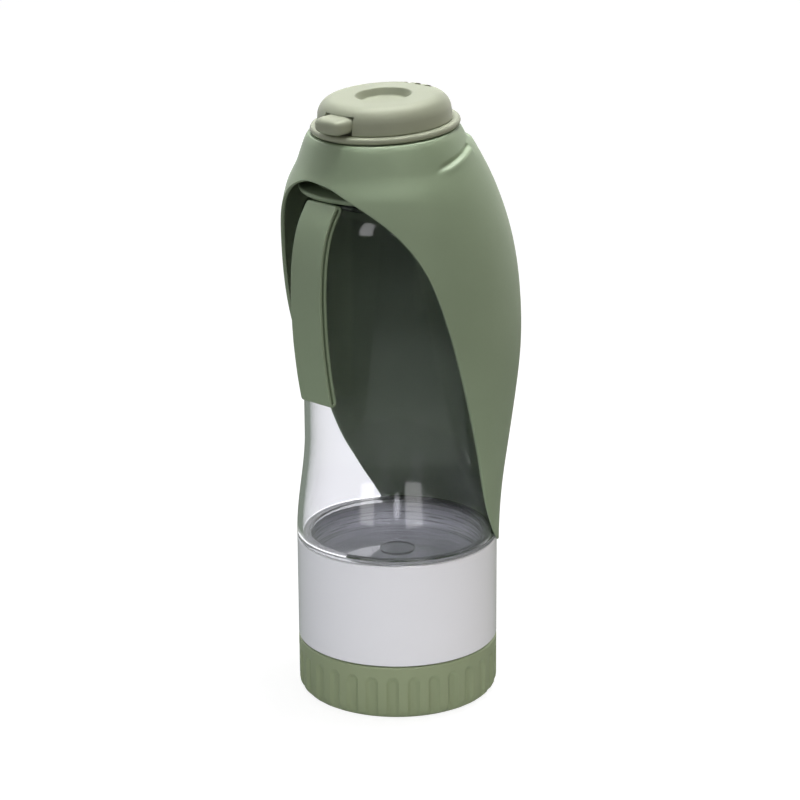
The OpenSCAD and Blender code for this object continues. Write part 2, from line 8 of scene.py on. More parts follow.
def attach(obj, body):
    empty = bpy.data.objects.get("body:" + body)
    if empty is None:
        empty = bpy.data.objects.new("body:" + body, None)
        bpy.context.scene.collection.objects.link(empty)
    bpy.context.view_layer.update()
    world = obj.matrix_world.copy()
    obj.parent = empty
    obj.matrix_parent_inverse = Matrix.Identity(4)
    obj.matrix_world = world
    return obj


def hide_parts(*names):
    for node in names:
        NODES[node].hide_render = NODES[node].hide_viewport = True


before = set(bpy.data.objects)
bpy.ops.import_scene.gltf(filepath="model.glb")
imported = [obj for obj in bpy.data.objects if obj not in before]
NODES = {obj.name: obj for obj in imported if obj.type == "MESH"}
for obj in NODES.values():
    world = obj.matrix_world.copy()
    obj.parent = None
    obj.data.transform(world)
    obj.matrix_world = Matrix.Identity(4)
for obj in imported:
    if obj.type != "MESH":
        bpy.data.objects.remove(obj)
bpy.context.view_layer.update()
MM = 0.001

# How far the neck leans to the front, and the height on the axis that it leans about
LEAN = math.radians(4.4)
LEAN_Z = 157.0

# Sizes of the solids that the dressed pieces repeat, in millimetres
BODY_R = 37.5
BASE_H = 21.0
CUP_Z = 21.4
CUP_TOP = 60.8
FLANGE_Z = 61.0
SHELL_Z = 62.6
BOTTLE_R = 34.1
WALL = 2.0
FLARE_H = 38.0
SHOULDER_Z = 183.0
SHOULDER_R = 9.0
NECK_R = 21.0
NECK_IN_R = 18.8
PITCH = 3.0

# Places on the neck before it leans, in millimetres: heights above the lean's centre, the hinge's
# and the button's places from front to back, and the knuckles' from side to side
RING_H = 39.05
NECK_TOP = 55.9
DECK_H = 57.1
DECK_TOP = 58.9
RIM_TOP = 61.8
LID_H = 62.0
HINGE_Y = 21.6
HINGE_H = 65.2
KNUCKLES = (-5.2, 0, 5.2)
BUTTON_FRONT = -29.9
BUTTON_BACK = -19.9
BUTTON_H = 62.5


def linear(colour):
    """A sRGB hex colour as the linear one that the shaders take."""
    parts = [int(colour[i:i + 2], 16) / 255 for i in (1, 3, 5)]
    return [c / 12.92 if c <= 0.04045 else ((c + 0.055) / 1.055) ** 2.4 for c in parts] + [1.0]


def add(tree, kind, values=(), links=(), **settings):
    """Adds a shader node with its settings, its sockets' values and its links."""
    node = tree.nodes.new("ShaderNode" + kind)
    for name, value in settings.items():
        setattr(node, name, value)
    for socket, value in dict(values).items():
        node.inputs[socket].default_value = value
    for socket, source in dict(links).items():
        tree.links.new(source, node.inputs[socket])
    return node


def smooth(t):
    """Smooth step from 0 to 1."""
    t = min(max(t, 0.0), 1.0)
    return t * t * (3 - 2 * t)


def curve(table, x):
    """A smooth curve through a table of places and values."""
    i = max(k for k in range(len(table) - 1) if k == 0 or x >= table[k][0])
    (x0, y0), (x1, y1) = table[i:i + 2]

    def slope(k):
        a, b = table[max(k - 1, 0)], table[min(k + 1, len(table) - 1)]
        return (b[1] - a[1]) / (b[0] - a[0])
    h = x1 - x0
    t = (x - x0) / h
    return ((2 * t ** 3 - 3 * t ** 2 + 1) * y0 + (t ** 3 - 2 * t ** 2 + t) * h * slope(i)
            + (3 * t ** 2 - 2 * t ** 3) * y1 + (t ** 3 - t ** 2) * h * slope(i + 1))


def moulded(name, colours, roughness, grain, wave, **principled):
    """A moulded plastic or rubber: two close tones, uneven gloss, fine grain and slow waviness.

    grain and wave are (size in mm, depth in mm). The grain is drawn coarser than a real satin
    mould leaves it, because it wouldn't show otherwise."""
    material = bpy.data.materials.new(name)
    material.use_nodes = True
    tree = material.node_tree
    shader = tree.nodes["Principled BSDF"]
    place = add(tree, "TexCoord").outputs["Object"]
    cloud = add(tree, "TexNoise", {"Scale": 1 / (35 * MM), "Detail": 3.0}, {"Vector": place})
    tone = add(tree, "ValToRGB", links={"Fac": cloud.outputs["Fac"]})
    tone.color_ramp.elements[0].position = 0.3
    tone.color_ramp.elements[0].color = linear(colours[0])
    tone.color_ramp.elements[1].position = 0.7
    tone.color_ramp.elements[1].color = linear(colours[1])
    tree.links.new(tone.outputs["Color"], shader.inputs["Base Color"])
    fine = add(tree, "TexNoise", {"Scale": 1 / (grain[0] * MM), "Detail": 2.0}, {"Vector": place})
    gloss = add(tree, "MapRange", {"From Min": 0.3, "From Max": 0.7, "To Min": roughness[0],
                                   "To Max": roughness[1]}, {"Value": fine.outputs["Fac"]})
    tree.links.new(gloss.outputs["Result"], shader.inputs["Roughness"])
    slow = add(tree, "TexNoise", {"Scale": 1 / (wave[0] * MM), "Detail": 1.0}, {"Vector": place})
    wavy = add(tree, "Bump", {"Strength": 1.0, "Distance": wave[1] * MM},
               {"Height": slow.outputs["Fac"]})
    rough = add(tree, "Bump", {"Strength": 1.0, "Distance": grain[1] * MM},
                {"Height": fine.outputs["Fac"], "Normal": wavy.outputs["Normal"]})
    tree.links.new(rough.outputs["Normal"], shader.inputs["Normal"])
    for socket, value in principled.items():
        shader.inputs[socket.replace("_", " ")].default_value = value
    return material


def clear_plastic(name, tint, wave, clearness=1.0):
    """Clear copolyester: hard gloss, a faint cool tint, and slow waves from the moulding."""
    material = bpy.data.materials.new(name)
    material.use_nodes = True
    tree = material.node_tree
    shader = tree.nodes["Principled BSDF"]
    place = add(tree, "TexCoord").outputs["Object"]
    slow = add(tree, "TexNoise", {"Scale": 1 / (wave[0] * MM), "Detail": 1.0}, {"Vector": place})
    wavy = add(tree, "Bump", {"Strength": 1.0, "Distance": wave[1] * MM},
               {"Height": slow.outputs["Fac"]})
    tree.links.new(wavy.outputs["Normal"], shader.inputs["Normal"])
    shader.inputs["Base Color"].default_value = linear(tint)
    shader.inputs["Roughness"].default_value = 0.02
    shader.inputs["IOR"].default_value = 1.52
    shader.inputs["Transmission Weight"].default_value = clearness
    return material


def steel(name):
    """Drawn stainless wire: bright metal whose gloss varies with the fine marks of the drawing.

    The marks are drawn coarser than real ones, because they wouldn't show otherwise."""
    material = bpy.data.materials.new(name)
    material.use_nodes = True
    tree = material.node_tree
    shader = tree.nodes["Principled BSDF"]
    place = add(tree, "TexCoord").outputs["Object"]
    fine = add(tree, "TexNoise", {"Scale": 1 / (0.4 * MM), "Detail": 2.0}, {"Vector": place})
    gloss = add(tree, "MapRange", {"To Min": 0.22, "To Max": 0.38}, {"Value": fine.outputs["Fac"]})
    tree.links.new(gloss.outputs["Result"], shader.inputs["Roughness"])
    shader.inputs["Base Color"].default_value = linear("#B9BCC0")
    shader.inputs["Metallic"].default_value = 1.0
    return material


# Liquid silicone from a satin mould: soft matt sage green with a faint cloudiness
SILICONE = moulded("sage_silicone", ("#849476", "#89997B"), (0.5, 0.6), (0.5, 0.004), (14, 0.12),
                   Specular_IOR_Level=0.75)
# Polypropylene, moulded with a satin finish: a little yellower than the silicone
GREEN_PP = moulded("green_polypropylene", ("#909C7A", "#95A07E"), (0.42, 0.52), (0.4, 0.004),
                   (12, 0.03))
# Polypropylene in khaki grey: satin, with broad soft highlights along its rounded edges
KHAKI_PP = moulded("khaki_polypropylene", ("#9CA08A", "#A1A58E"), (0.44, 0.54), (0.4, 0.004),
                   (12, 0.03), Specular_IOR_Level=0.3)
# Glossy white ABS: clean and smooth, with only a trace of waviness in its reflections
WHITE_ABS = moulded("white_abs", ("#ECECEF", "#EEEEF1"), (0.12, 0.18), (0.6, 0.001), (16, 0.02))
# Natural white silicone of the seals and the plug: milky and half matt
WHITE_SILICONE = moulded("white_silicone", ("#E2E2DE", "#E6E6E2"), (0.4, 0.5), (0.5, 0.004),
                         (12, 0.04))
# Blow-moulded clear body: long slow waves bend what is seen through it
CLEAR = clear_plastic("clear_copolyester", "#FBFBFE", (24, 0.03))
# Injection-moulded clear floor: a little milky, with finer ripples from the thick moulding
CLEAR_FLOOR = clear_plastic("clear_moulded_floor", "#D2D3D6", (10, 0.02), 0.8)
# Drawn steel of the spring and the hinge pin
STEEL = steel("stainless_steel")

FINISHES = {
    "base_gasket": WHITE_SILICONE, "cup_gasket": WHITE_SILICONE, "neck_gasket": WHITE_SILICONE,
    "spout_plug": WHITE_SILICONE, "lid_hinge_pin": STEEL, "latch_spring": STEEL}
for name, finish in FINISHES.items():
    for slot in NODES[name].material_slots:
        slot.material = finish


def soften(corners, steps=5, guard=0.08):
    """Points of an outline with its corners rounded: (radius, height, optional round).

    A guard point beside each round keeps the flat faces next to it shaded flat."""
    points = []
    for i, corner in enumerate(corners):
        here = Vector((corner[0], 0, corner[1]))
        if len(corner) < 3:
            points.append(here)
            continue
        before, after = corners[i - 1], corners[(i + 1) % len(corners)]
        a = (Vector((before[0], 0, before[1])) - here).normalized()
        b = (Vector((after[0], 0, after[1])) - here).normalized()
        half = a.angle(b) / 2
        centre = here + (a + b).normalized() * corner[2] / math.sin(half)
        start = (here + a * corner[2] / math.tan(half) - centre).normalized()
        end = (here + b * corner[2] / math.tan(half) - centre).normalized()
        arc = [centre + start.slerp(end, k / steps) * corner[2] for k in range(steps + 1)]
        points += [arc[0] + a * guard] + arc + [arc[-1] + b * guard]
    return points


def rows(radius, low, high, step=0.4):
    """Close rows of points on an upright wall, for a thread or flutes to be shaped in."""
    count = max(1, round(abs(high - low) / step))
    return [(radius, low + (high - low) * k / count) for k in range(count + 1)]


def turned(points, closed=True, columns=144):
    """A body turned about Z from half of its outline, in millimetres."""
    bm = bmesh.new()
    verts = [bm.verts.new(p) for p in points]
    edges = [bm.edges.new(pair) for pair in zip(verts, verts[1:])]
    if closed:
        edges.append(bm.edges.new((verts[-1], verts[0])))
    bmesh.ops.spin(bm, geom=verts + edges, axis=(0, 0, 1), cent=(0, 0, 0), dvec=(0, 0, 0),
                   angle=math.tau, steps=columns, use_merge=True, use_duplicate=False)
    bmesh.ops.remove_doubles(bm, verts=bm.verts, dist=0.001)
    bmesh.ops.recalc_face_normals(bm, faces=bm.faces)
    return bm


def block(bm, low, high):
    """Adds a box between two corners."""
    low, high = Vector(low), Vector(high)
    made = bmesh.ops.create_cube(bm, size=1)["verts"]
    bmesh.ops.scale(bm, vec=high - low, verts=made)
    bmesh.ops.translate(bm, vec=(low + high) / 2, verts=made)


def slab(bm, outline, x0, x1):
    """Adds a plate between two places across the part, from its side view of (y, height)."""
    face = bm.faces.new([bm.verts.new((x0, y, h)) for y, h in outline])
    made = bmesh.ops.extrude_face_region(bm, geom=[face])["geom"]
    far = [v for v in made if isinstance(v, bmesh.types.BMVert)]
    bmesh.ops.translate(bm, vec=(x1 - x0, 0, 0), verts=far)
    bmesh.ops.recalc_face_normals(bm, faces=bm.faces)


def cut_thread(bm, radius, height, low, high):
    """Raises a right-hand thread on the wall at a radius, fading out at both ends.

    A negative height makes it stand inwards."""
    for v in bm.verts:
        r = math.hypot(v.co.x, v.co.y)
        if abs(r - radius) < 0.01 and low < v.co.z < high:
            turn = (v.co.z - low) / PITCH - math.atan2(v.co.y, v.co.x) / math.tau
            ridge = smooth(1.5 - abs(turn % 1 - 0.5) * 5)
            fade = smooth((v.co.z - low) / 1.5) * smooth((high - v.co.z) / 1.5)
            grown = (r + height * ridge * fade) / r
            v.co.x *= grown
            v.co.y *= grown


def on_neck(bm):
    """Moves what stands on the Z axis to the leaning neck."""
    bmesh.ops.translate(bm, vec=(0, 0, LEAN_Z), verts=bm.verts)
    bmesh.ops.rotate(bm, cent=(0, 0, LEAN_Z), matrix=Matrix.Rotation(LEAN, 3, "X"),
                     verts=bm.verts)


def finished(name, bm, body, slot, finish, *nodes, sharp=35, bevel=0.0):
    """Makes a piece from a mesh in millimetres, which rides a body and stands for CAD nodes."""
    bmesh.ops.scale(bm, vec=(MM, MM, MM), verts=bm.verts)
    mesh = bpy.data.meshes.new(name)
    bm.to_mesh(mesh)
    bm.free()
    mesh.materials.append(finish)
    mesh.shade_smooth()
    if sharp:
        mesh.set_sharp_from_angle(angle=math.radians(sharp))
    piece = bpy.data.objects.new(name, mesh)
    bpy.context.collection.objects.link(piece)
    if bevel:
        edge = piece.modifiers.new("edge", "BEVEL")
        edge.width = bevel * MM
        edge.segments = 3
        edge.limit_method = "ANGLE"
        edge.angle_limit = math.radians(35)
        edge.harden_normals = True
    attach(piece, body)
    if nodes:
        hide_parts(*nodes)
    return piece


def make_base_cap():
    """Ribbed base cap: thirty soft grip flutes with rounded tops round its wall."""
    flutes, reach, depth, top = 30, 2.7, 1.15, 14.5
    bm = turned(soften([(0, 0), (BODY_R, 0, 4.4)] + rows(BODY_R, 4.8, 18.4, 0.7)
                       + [(BODY_R, BASE_H, 0.7), (33.9, BASE_H, 0.4), (33.9, 2.8, 1.2), (0, 2.8)]),
                closed=False, columns=600)
    for v in bm.verts:
        r = math.hypot(v.co.x, v.co.y)
        if r < 35.5:
            continue
        across = (math.atan2(v.co.y, v.co.x) * flutes / math.tau + 0.5) % 1 - 0.5
        across *= math.tau * BODY_R / flutes
        above = max(v.co.z - top, 0)
        room = reach ** 2 - across ** 2 - above ** 2
        cut = (math.sqrt(room) - reach + depth) if room > 0 else -1
        cut = depth * smooth(cut / depth * 0.85 + 0.15) * smooth((v.co.z - 0.4) / 3)
        v.co.x *= (r - cut) / r
        v.co.y *= (r - cut) / r
    finished("ribbed_base_cap", bm, "base", "base_green", GREEN_PP, "base_cap")


def make_food_cup():
    """White food cup: plain glossy wall, rounded floor inside, threaded spigot below."""
    spigot = 33.05
    bm = turned(soften([(0, 21.8), (31.2, 21.8, 1.0), (31.2, 5.45, 0.5), (spigot, 5.45, 0.5)]
                       + rows(spigot, 6.4, 18.6) + [(spigot, CUP_Z, 0.3), (BODY_R, CUP_Z, 0.7),
                                                    (BODY_R, CUP_TOP, 0.7), (36.1, CUP_TOP, 0.2),
                                                    (36.1, 59.3), (34.5, 59.3, 0.2),
                                                    (34.5, 24.2, 3.5), (0, 24.2)]), closed=False)
    cut_thread(bm, spigot, 0.7, 6.8, 18.2)
    # Without a shadow it lets light into the clear well above it, as thin white plastic does
    cup = finished("food_cup_white", bm, "cup", "cup_white", WHITE_ABS, "food_cup")
    cup.visible_shadow = False


def make_bottle():
    """Clear bottle with a threaded well in its foot, shoulder, neck thread and ledge."""
    def flare(inset):
        count = 28
        heights = [SHELL_Z + 0.02 + FLARE_H * k / count for k in range(count + 1)]
        return [(BODY_R - (BODY_R - BOTTLE_R) * smooth((z - SHELL_Z) / FLARE_H) - inset, z)
                for z in heights]
    neck, shoulder, ledge_r = LEAN_Z, SHOULDER_Z + SHOULDER_R, NECK_R + 6
    outer = flare(0) + [(BOTTLE_R, SHELL_Z + FLARE_H + 1), (BOTTLE_R, shoulder, SHOULDER_R),
                        (NECK_R, shoulder, 0.9), (NECK_R, neck + 37, 0.5),
                        (ledge_r, neck + 37, 0.6), (ledge_r, neck + 39, 0.6),
                        (NECK_R, neck + 39, 0.4)] + rows(NECK_R, neck + 41.6, neck + 54.4)
    outer += [(NECK_R, neck + NECK_TOP, 0.6), (NECK_IN_R, neck + NECK_TOP, 0.4)]
    inner = [(NECK_IN_R, shoulder - WALL, 1.2),
             (BOTTLE_R - WALL, shoulder - WALL, SHOULDER_R - WALL)]
    inner += [(BOTTLE_R - WALL, SHELL_Z + FLARE_H + 1)] + flare(WALL)[::-1]
    bm = turned(soften(outer + inner, steps=10))
    cut_thread(bm, NECK_R, 0.9, neck + 42, neck + 54)
    # The neck leans, and the shoulder takes up the lean towards its rim
    lean = Matrix.Rotation(LEAN, 3, "X")
    for v in bm.verts:
        r = math.hypot(v.co.x, v.co.y)
        in_neck = v.co.z > shoulder + 0.2 or r < NECK_R + 0.2
        share = 1.0 if in_neck else smooth((BOTTLE_R - SHOULDER_R - r) / 3.5)
        if v.co.z > SHOULDER_Z and share:
            place = v.co - Vector((0, 0, LEAN_Z))
            v.co = v.co.lerp(lean @ place + Vector((0, 0, LEAN_Z)), share)
    finished("clear_bottle", bm, "bottle", "clear_plastic", CLEAR, "bottle_shell")
    well = 33.45
    bm = turned(soften([(0, 52.6), (6.5, 52.6, 1.5), (25.9, 50, 3), (well, 50, 0.6)]
                       + rows(well, 50.8, 60.2)
                       + [(well, FLANGE_Z, 0.3), (BODY_R, FLANGE_Z, 0.3),
                          (BODY_R, SHELL_Z, 0.2), (32.2, SHELL_Z, 0.8), (32.2, 52, 1.6),
                          (25.9, 52, 3), (6.5, 54.6, 1.5), (0, 54.6)]), closed=False)
    cut_thread(bm, well, 0.7, 50.9, 60.1)
    # Without a shadow it lets light through, as clear plastic does
    floor = finished("clear_floor", bm, "bottle", "clear_plastic", CLEAR_FLOOR, "bottle_floor")
    floor.visible_shadow = False


# The pressed crease in the leaf's right shoulder, from its faint end upwards, in millimetres
CREASE = [Vector(p) for p in (
    (31.7, -12.1, 204.7), (32.0, -8.6, 205.8), (32.0, -4.5, 206.9), (31.8, -1.2, 207.9),
    (31.0, 2.5, 208.9), (30.0, 5.3, 209.6), (28.6, 8.3, 210.5), (26.2, 12.0, 211.1))]
CREASE_LENGTH = sum((b - a).length for a, b in zip(CREASE, CREASE[1:]))
OUTWARD = Vector((0.88, 0.0, 0.46)).normalized()


def by_crease(place):
    """Whether a place is in the part of the leaf that holds the crease."""
    return place.x > 18 and place.z > 198


def off_crease(place):
    """How far a place is from the crease, along it, and above it on the leaf's skin."""
    found, done = (1e9, 0, 0), 0
    for a, b in zip(CREASE, CREASE[1:]):
        way = b - a
        t = min(max((place - a).dot(way) / way.length_squared, 0), 1)
        off = place - (a + way * t)
        if off.length < found[0]:
            found = off.length, done + t * way.length, off.dot(OUTWARD.cross(way).normalized())
        done += way.length
    return found


def subdivided(bm, levels):
    """The mesh after a subdivision surface."""
    mesh = bpy.data.meshes.new("cage")
    bm.to_mesh(mesh)
    bm.free()
    cage = bpy.data.objects.new("cage", mesh)
    bpy.context.collection.objects.link(cage)
    finer = cage.modifiers.new("finer", "SUBSURF")
    finer.levels = finer.render_levels = levels
    bm = bmesh.new()
    bm.from_object(cage, bpy.context.evaluated_depsgraph_get())
    bpy.data.objects.remove(cage)
    bpy.data.meshes.remove(mesh)
    return bm


def make_leaf():
    """Silicone leaf: the solid's own skin made finer, with a crease pressed in its shoulder."""
    bm = bmesh.new()
    bm.from_mesh(NODES["leaf_bowl"].data)
    bmesh.ops.remove_doubles(bm, verts=bm.verts, dist=1e-6)
    bmesh.ops.join_triangles(bm, faces=bm.faces, angle_face_threshold=math.radians(50),
                             angle_shape_threshold=math.radians(170))
    bmesh.ops.scale(bm, vec=(1 / MM, 1 / MM, 1 / MM), verts=bm.verts)
    # Rims and folds stay crisp, most of all at the collar, but beside the pressed crease only
    # the sharpest ones do
    crisp = bm.edges.layers.float.new("crease_edge")
    for edge in bm.edges:
        fold = math.degrees(edge.calc_face_angle(0))
        middle = (edge.verts[0].co + edge.verts[1].co) / 2
        if fold > (60 if off_crease(middle)[0] < 8 else 14):
            edge[crisp] = 0.85 if middle.z > 190 else 0.55
    bm = subdivided(bm, levels=2)
    near = {v for v in bm.verts if by_crease(v.co) and off_crease(v.co)[0] < 4.5}
    bmesh.ops.subdivide_edges(bm, edges=[e for e in bm.edges if near.issuperset(e.verts)],
                              cuts=1, use_grid_fill=True)
    bm.normal_update()
    # In millimetres: a groove just above the line and a low ridge below it, which fade at the ends
    dent, swell, run_in, run_out, reach = 1.0, 0.45, 9, 2, 6
    for v in bm.verts:
        if by_crease(v.co) and v.normal.dot(OUTWARD) > 0.2:
            away, along, above = off_crease(v.co)
            fade = (smooth(along / run_in) * smooth((CREASE_LENGTH - along) / run_out)
                    * smooth(reach - away))
            groove = dent * math.exp(-((above - 0.4) / 0.8) ** 2)
            ridge = swell * math.exp(-((above + 1.7) / 1.1) ** 2)
            v.co += v.normal * (ridge - groove) * fade
    finished("leaf_bowl_soft", bm, "bottle", "silicone_green", SILICONE, "leaf_bowl", sharp=0)


def make_strap():
    """Strap: a ring laid on the neck's ledge, and a flattened loop with rounded edges."""
    bm = turned(soften([(21.3, 0, 0.6), (32.7, 0, 0.85), (32.7, 1.8, 0.85), (21.3, 1.8, 0.6)]))
    bmesh.ops.translate(bm, vec=(0, 0, RING_H), verts=bm.verts)
    on_neck(bm)
    finished("strap_ring_soft", bm, "bottle", "silicone_green", SILICONE, "strap_ring")
    wide, thick, gap, top, bottom, count = 15.3, 1.25, 0.9, 192.526, 121.3, 40
    # How far the loop's front stands off the bottle's wall, by height above the shell's foot
    shape = [(55.4, 6.25), (61.4, 7.56), (68.9, 8.92), (80.9, 10.44), (93.4, 11.16),
             (101.4, 11.14), (110.4, 10.47), (118.9, 8.69), (124.9, 6.26), (130.4, 2.72)]

    def face(z):
        return BOTTLE_R + curve(shape, z - SHELL_Z)

    def line(inset):
        points = []
        for k in range(count + 1):
            z = bottom + (top - bottom) * k / count
            s = face(z + 0.5) - face(z - 0.5)
            n = math.hypot(1, s)
            points.append(Vector((-wide / 2, -face(z) + inset / n, z + inset * s / n)))
        return points
    front, back = line(0), line(thick * 2 + gap)

    def fold(a, b, away):
        centre, half = (a + b) / 2, (b - a) / 2
        side = Vector((0, half.z, -half.y)) * away
        return [centre - half * math.cos(t) + side * math.sin(t)
                for t in (math.pi * k / 10 for k in range(1, 10))]
    path = front + fold(front[-1], back[-1], -1) + back[::-1] + fold(back[0], front[0], -1)
    bm = bmesh.new()
    verts = [bm.verts.new(p) for p in path]
    loop = [bm.edges.new(pair) for pair in zip(verts, verts[1:] + verts[:1])]
    made = bmesh.ops.extrude_edge_only(bm, edges=loop)["geom"]
    far = [v for v in made if isinstance(v, bmesh.types.BMVert)]
    bmesh.ops.translate(bm, vec=(wide, 0, 0), verts=far)
    bmesh.ops.recalc_face_normals(bm, faces=bm.faces)
    bmesh.ops.solidify(bm, geom=bm.faces[:], thickness=thick)
    bmesh.ops.recalc_face_normals(bm, faces=bm.faces)
    finished("hand_strap_soft", bm, "strap", "silicone_green", SILICONE, "hand_strap",
             sharp=60, bevel=0.42)


def make_cap():
    """Screw cap: skirt with its thread inside, bead, deck with the spout, hinge ears and catch."""
    bead_r, bead_c, skirt_r, thread_r, ear_r, ear_half = 1.15, 25.95, 24.8, 22.4, 2.4, 1.7
    bead = [(bead_c + bead_r * math.cos(t), RIM_TOP - bead_r + bead_r * math.sin(t))
            for t in (math.radians(-90 + 15 * k) for k in range(12))]
    bm = turned(soften([(thread_r, 42, 0.4), (skirt_r, 42, 0.4),
                        (skirt_r, RIM_TOP - 2 * bead_r)] + bead
                       + [(22.95, RIM_TOP, 0.4), (22.95, DECK_TOP, 0.6), (8.4, DECK_TOP, 0.6),
                          (8.4, 64.9, 0.7), (6, 64.9, 0.7), (6, DECK_H, 0.4),
                          (thread_r, DECK_H, 0.3)] + rows(thread_r, 55.4, 43.4)))
    cut_thread(bm, thread_r, -0.45, 43.5, 55)
    ear = [(HINGE_Y + ear_r * math.cos(t), HINGE_H + ear_r * math.sin(t))
           for t in (math.radians(10 * k) for k in range(19))]
    for x in KNUCKLES:
        slab(bm, [(19.2, RIM_TOP - 0.9), (24.0, RIM_TOP - 0.9)] + ear, x - ear_half, x + ear_half)
    block(bm, (-4, -23.6, 60.9), (4, -21.7, 61.7))
    on_neck(bm)
    finished("screw_cap", bm, "cap", "lid_khaki", KHAKI_PP, "cap_base", bevel=0.2)


def carve(body, ribs, cutters):
    """Joins ribs to a body and cuts cutters from it, and gives the resulting mesh."""
    made = []
    for name, bm in (("body", body), ("ribs", ribs), ("cutters", cutters)):
        mesh = bpy.data.meshes.new(name)
        bmesh.ops.recalc_face_normals(bm, faces=bm.faces)
        bm.to_mesh(mesh)
        bm.free()
        made.append(bpy.data.objects.new(name, mesh))
        bpy.context.collection.objects.link(made[-1])
    for operation, tool in (("UNION", made[1]), ("DIFFERENCE", made[2])):
        cut = made[0].modifiers.new(operation, "BOOLEAN")
        cut.operation = operation
        cut.object = tool
        cut.solver = "EXACT"
        cut.use_self = True
    bm = bmesh.new()
    bm.from_object(made[0], bpy.context.evaluated_depsgraph_get())
    for thing in made:
        mesh = thing.data
        bpy.data.objects.remove(thing)
        bpy.data.meshes.remove(mesh)
    return bm


def make_lid():
    """Flip lid: shell with a nearly flat roof, finger recess, hinge slots and latch pocket."""
    flat, edge, top, crown = 17.9, 6.2, 71.2, 0.15
    slot_half, mark_half, tail_r = 1.9, 1.5, 3.1

    def roof(r):
        return top + crown * (1 - (r / flat) ** 2)

    def brow(r):
        return [(flat + r * math.cos(t), top - edge + r * math.sin(t))
                for t in (math.radians(9 * k) for k in range(11))]
    outline = [(0, 68.51), (8.6, 68.51, 0.9), (10.2, roof(10.2) + 0.05, 0.7)]
    outline += [(r, roof(r)) for r in (12, 13.5, 15, 16.5)] + brow(edge)[::-1]
    outline += [(24.6, LID_H, 0.3), (22.4, LID_H, 0.3)] + brow(edge - 1.7)
    outline += [(12.3, 70.3, 0.5), (10.2, 66.81, 0.5), (0, 66.81)]
    body = turned(soften(outline), closed=False)
    ribs = turned(soften([(8.7, 63, 0.3), (10.1, 63, 0.3), (10.1, 67.3), (8.7, 67.3)]))
    block(ribs, (-9.2, 17.4, 62.2), (9.2, 21.5, 66.4))
    block(ribs, (-8.4, -22.2, 62.5), (8.4, -16.7, 66.6))
    cutters = bmesh.new()
    for x in KNUCKLES:
        block(cutters, (x - slot_half, 18.9, 60), (x + slot_half, 28, 75))
        block(cutters, (x - mark_half, 17.0, 70.1), (x + mark_half, 19.5, 75))
    tail = [(HINGE_Y + tail_r * math.sin(t), HINGE_H - tail_r * math.cos(t))
            for t in (math.radians(10 * k) for k in range(10))]
    slab(cutters, [(HINGE_Y, 60)] + tail + [(28, HINGE_H), (28, 60)], -12.5, 12.5)
    block(cutters, (-7.1, -30, 60), (7.1, -17.9, 68.55))
    bm = carve(body, ribs, cutters)
    on_neck(bm)
    finished("flip_lid_shell", bm, "lid", "lid_khaki", KHAKI_PP, "flip_lid", bevel=0.22)


def make_latch():
    """Latch button: a soft pillow form, with the tongue and nose that hold the lid."""
    bm = bmesh.new()
    bmesh.ops.create_cube(bm, size=2)
    bmesh.ops.subdivide_edges(bm, edges=bm.edges[:], cuts=11, use_grid_fill=True)
    half = Vector((6.9, (BUTTON_BACK - BUTTON_FRONT) / 2, 2.95))
    power, tongue, foot = 3.2, 3.5, 59.4
    for v in bm.verts:
        round_part = (v.co.x, min(v.co.y, 0), v.co.z)
        size = max(abs(c) for c in round_part)
        norm = sum(abs(c) ** power for c in round_part) ** (1 / power) or 1
        shrink = size / norm
        depth = v.co.y * (shrink if v.co.y < 0 else 1)
        v.co = Vector((v.co.x * shrink * half.x, depth * half.y, v.co.z * shrink * half.z))
    bmesh.ops.translate(bm, vec=(0, (BUTTON_BACK + BUTTON_FRONT) / 2, BUTTON_H + half.z),
                        verts=bm.verts)
    block(bm, (-tongue, BUTTON_BACK - 1.0, foot), (tongue, BUTTON_BACK, BUTTON_H + 2))
    block(bm, (-tongue, BUTTON_BACK - 1.4, foot), (tongue, BUTTON_BACK - 0.9, 60.6))
    on_neck(bm)
    finished("latch_button_soft", bm, "latch", "lid_khaki", KHAKI_PP, "latch_button")


def make_camera():
    """A camera at the photograph's place, for an 800 by 800 picture."""
    distance, elevation, azimuth, roll = 992.5 * MM, 0.2934915, math.radians(45), -0.0067
    data = bpy.data.cameras.new("camera")
    data.lens = 120.75
    data.sensor_width = 36
    data.shift_x = 0.00493
    data.shift_y = -0.02413
    data.clip_start = 0.05
    data.clip_end = 20
    camera = bpy.data.objects.new("camera", data)
    bpy.context.collection.objects.link(camera)
    back = Vector((math.sin(azimuth) * math.cos(elevation),
                   -math.cos(azimuth) * math.cos(elevation), math.sin(elevation)))
    camera.location = Vector((0, 0, 0.12)) + back * distance
    turn = back.to_track_quat("Z", "Y").to_matrix() @ Matrix.Rotation(roll, 3, "Z")
    camera.rotation_euler = turn.to_euler()
    bpy.context.scene.camera = camera


def ray_kinds(tree, path):
    """Whether a ray comes straight from the camera, and whether it has met a mirror."""
    bounced = add(tree, "Math", links={0: path["Diffuse Depth"], 1: path["Glossy Depth"]},
                  operation="ADD")
    seen = add(tree, "Math", {1: 0.5}, {0: bounced.outputs[0]}, operation="LESS_THAN")
    mirrored = add(tree, "Math", {1: 0.5}, {0: path["Glossy Depth"]}, operation="GREATER_THAN")
    return seen, mirrored


